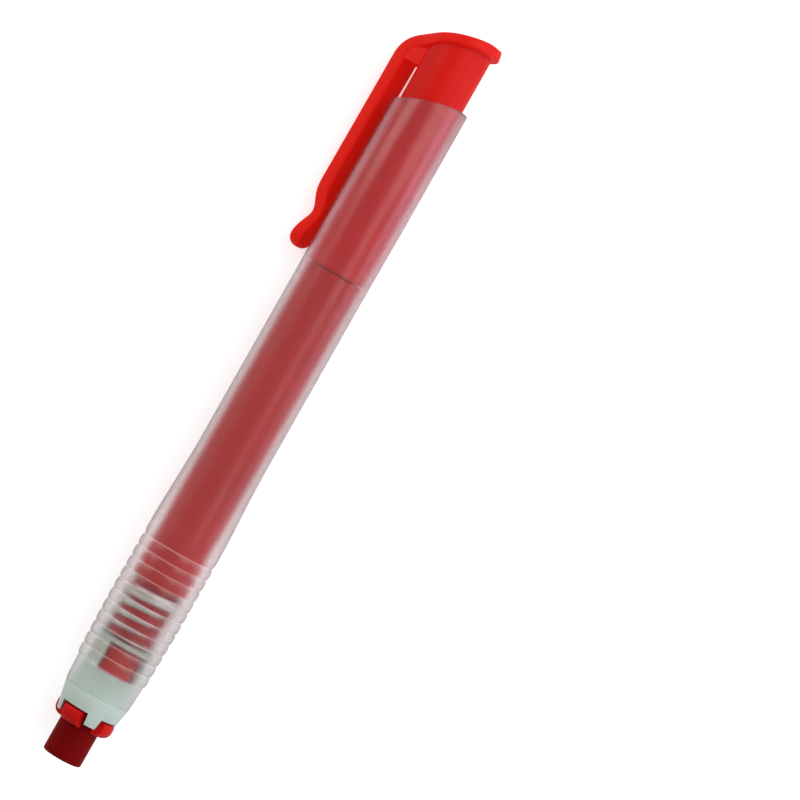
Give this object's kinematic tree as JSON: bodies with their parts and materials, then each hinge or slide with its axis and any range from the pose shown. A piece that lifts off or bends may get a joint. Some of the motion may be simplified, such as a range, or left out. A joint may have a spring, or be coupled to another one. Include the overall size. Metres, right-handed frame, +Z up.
{
  "type": "retractable eraser pen",
  "caption": "Push-button eraser pen: a sprung feed tube with split jaws grips a rod eraser in a clear ringed barrel with a pocket clip.",
  "frame": {"origin": "bottom centre of the bounding box, with the pen lying on its grip rings and its clip's tail", "axes": "+X along the pen towards the eraser's face, +Z up, the clip on the -Y side"},
  "size_m": [0.1324, 0.016, 0.0127],
  "materials": {
    "red_plastic": "moulded, satin gloss",
    "frosted_plastic": "clear, slightly frosted",
    "white_plastic": "moulded, satin",
    "spring_steel": "drawn wire",
    "eraser_rubber": "extruded, smooth matt"
  },
  "bodies": {
    "holder": {"barrel": "frosted_plastic", "nose_bush": "white_plastic"},
    "pusher": {"push_button": "red_plastic", "feed_tube": "red_plastic", "spring": "spring_steel"},
    "clip": {"clip": "red_plastic"},
    "rod": {"eraser_rod": "eraser_rubber"},
    "jaw_a": {"jaw_1": "red_plastic"},
    "jaw_b": {"jaw_2": "red_plastic"},
    "jaw_c": {"jaw_3": "red_plastic"},
    "jaw_d": {"jaw_4": "red_plastic"}
  },
  "joints": [
    {"name": "push", "type": "slide", "parent": "holder", "child": "pusher", "axis": [1, 0, 0], "range_m": [0, 0.005], "stiffness_N_per_m": 400, "springref_m": -0.004, "deforming": ["spring"]},
    {"name": "eraser_feed", "type": "slide", "parent": "pusher", "child": "rod", "axis": [1, 0, 0], "range_m": [-0.0055, 0.083]},
    {"name": "clip_flex", "type": "hinge", "parent": "pusher", "child": "clip", "pos_m": [-0.05698, -0.00575, 0.00277], "axis": [0, 0.4345, -0.9007], "range_deg": [0, 6], "stiffness_Nm_per_rad": 1},
    {"name": "jaw_a_open", "type": "hinge", "parent": "pusher", "child": "jaw_a", "pos_m": [0.05186, -0.00167, 0.00474], "axis": [0, 0.4345, -0.9007], "range_deg": [0, 4]},
    {"name": "jaw_b_open", "type": "hinge", "parent": "pusher", "child": "jaw_b", "pos_m": [0.05186, 0.00004, 0.00965], "axis": [0, -0.9007, -0.4345], "range_deg": [0, 4]},
    {"name": "jaw_c_open", "type": "hinge", "parent": "pusher", "child": "jaw_c", "pos_m": [0.05186, 0.00495, 0.00793], "axis": [0, -0.4345, 0.9007], "range_deg": [0, 4]},
    {"name": "jaw_d_open", "type": "hinge", "parent": "pusher", "child": "jaw_d", "pos_m": [0.05186, 0.00324, 0.00303], "axis": [0, 0.9007, 0.4345], "range_deg": [0, 4]}
  ],
  "couplings": [
    {"joint": "jaw_a_open", "follows": "push", "rad_per_m": 13.96},
    {"joint": "jaw_b_open", "follows": "push", "rad_per_m": 13.96},
    {"joint": "jaw_c_open", "follows": "push", "rad_per_m": 13.96},
    {"joint": "jaw_d_open", "follows": "push", "rad_per_m": 13.96}
  ]
}
